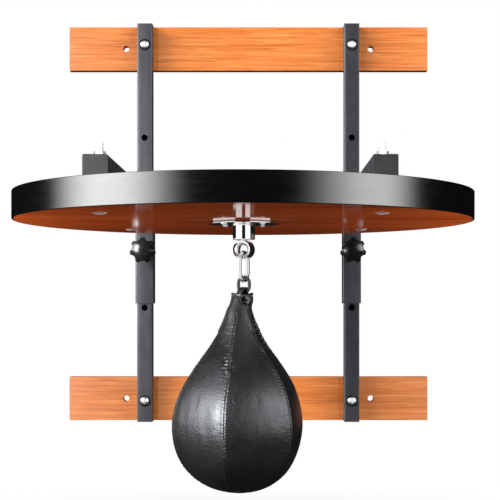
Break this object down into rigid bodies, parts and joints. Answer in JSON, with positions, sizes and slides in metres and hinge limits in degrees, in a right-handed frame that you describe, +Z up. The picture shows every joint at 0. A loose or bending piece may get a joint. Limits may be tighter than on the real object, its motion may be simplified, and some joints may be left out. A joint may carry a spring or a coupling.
{
  "type": "speed bag platform",
  "caption": "Wall-mounted speed bag platform: round board on a height-adjustable steel frame, with a ball-bearing swivel, chain links and a leather speed bag.",
  "frame": {"origin": "centre of the four wall holes, on the plane where the wooden boards meet the wall", "axes": "+Z up, +Y into the wall, +X to the right when facing the wall"},
  "size_m": [0.6099, 0.685, 0.7122],
  "materials": {
    "varnished_wood": "satin varnish over straight horizontal grain",
    "board_wood": "high-gloss clear coat over dark red-brown wood",
    "black_rim": "high gloss",
    "powder_coat": "fine-textured satin powder coat",
    "black_plastic": "fine matte texture",
    "knob_plastic": "gloss moulded",
    "zinc": "bright zinc",
    "dark_zinc": "dark zinc",
    "chrome": "mirror chrome",
    "dark_steel": "polished black nickel",
    "bearing_steel": "ground",
    "leather": "semi-gloss, fine grain, sewn",
    "lace": "waxed cord",
    "rubber": "matte"
  },
  "bodies": {
    "wall_frame": {"top_wall_board": "varnished_wood", "bottom_wall_board": "varnished_wood", "left_upright": "powder_coat", "right_upright": "powder_coat", "upright_end_caps": "black_plastic", "upright_bolts": "zinc", "upright_bolt_washers": "dark_zinc", "upright_t_nuts": "zinc"},
    "carriage": {"left_sleeve": "powder_coat", "right_sleeve": "powder_coat", "left_arm": "powder_coat", "right_arm": "powder_coat", "arm_end_caps": "black_plastic", "lock_weld_nuts": "powder_coat", "platform_board": "board_wood", "rim_band": "black_rim", "board_bolts": "zinc", "board_washers": "zinc", "board_nuts": "zinc", "swivel_plate": "chrome", "swivel_housing": "chrome", "swivel_screws": "zinc", "bearing_race": "bearing_steel", "bearing_balls": "bearing_steel"},
    "left_screw": {"left_lock_screw": "zinc"},
    "left_knob": {"left_lock_knob": "knob_plastic"},
    "right_screw": {"right_lock_screw": "zinc"},
    "right_knob": {"right_lock_knob": "knob_plastic"},
    "swivel": {"swivel_eye": "chrome", "swivel_collar_nut": "chrome"},
    "link": {"upper_link": "chrome"},
    "bag": {"lower_link": "dark_steel", "bag_loop": "leather", "bag_cover": "leather", "bag_eyelets": "dark_steel", "bag_lace": "lace", "bag_bladder": "rubber", "bladder_valve": "rubber"}
  },
  "joints": [
    {"name": "height_slide", "type": "slide", "parent": "wall_frame", "child": "carriage", "axis": [0, 0, 1], "range_m": [-0.093, 0.186]},
    {"name": "left_screw_travel", "type": "slide", "parent": "carriage", "child": "left_screw", "axis": [0, -1, 0], "range_m": [-0.006, 0.0045]},
    {"name": "left_knob_turn", "type": "hinge", "parent": "left_screw", "child": "left_knob", "pos_m": [-0.17, -0.058, -0.0465], "axis": [0, -1, 0], "range_deg": [-1440, 1080]},
    {"name": "right_screw_travel", "type": "slide", "parent": "carriage", "child": "right_screw", "axis": [0, -1, 0], "range_m": [-0.006, 0.0045]},
    {"name": "right_knob_turn", "type": "hinge", "parent": "right_screw", "child": "right_knob", "pos_m": [0.17, -0.058, -0.0465], "axis": [0, -1, 0], "range_deg": [-1440, 1080]},
    {"name": "swivel_spin", "type": "hinge", "parent": "carriage", "child": "swivel", "pos_m": [0, -0.38, -0.0758], "axis": [0, 0, 1], "continuous": true},
    {"name": "link_swing", "type": "hinge", "parent": "swivel", "child": "link", "pos_m": [0, -0.38, -0.0758], "axis": [0.9135, -0.4067, 0], "range_deg": [-70, 70]},
    {"name": "bag_swing", "type": "hinge", "parent": "link", "child": "bag", "pos_m": [0, -0.38, -0.1015], "axis": [0.4067, 0.9135, 0], "range_deg": [-45, 45]}
  ],
  "couplings": [
    {"joint": "left_knob_turn", "follows": "left_screw_travel", "rad_per_m": 4188.8},
    {"joint": "right_knob_turn", "follows": "right_screw_travel", "rad_per_m": 4188.8}
  ]
}
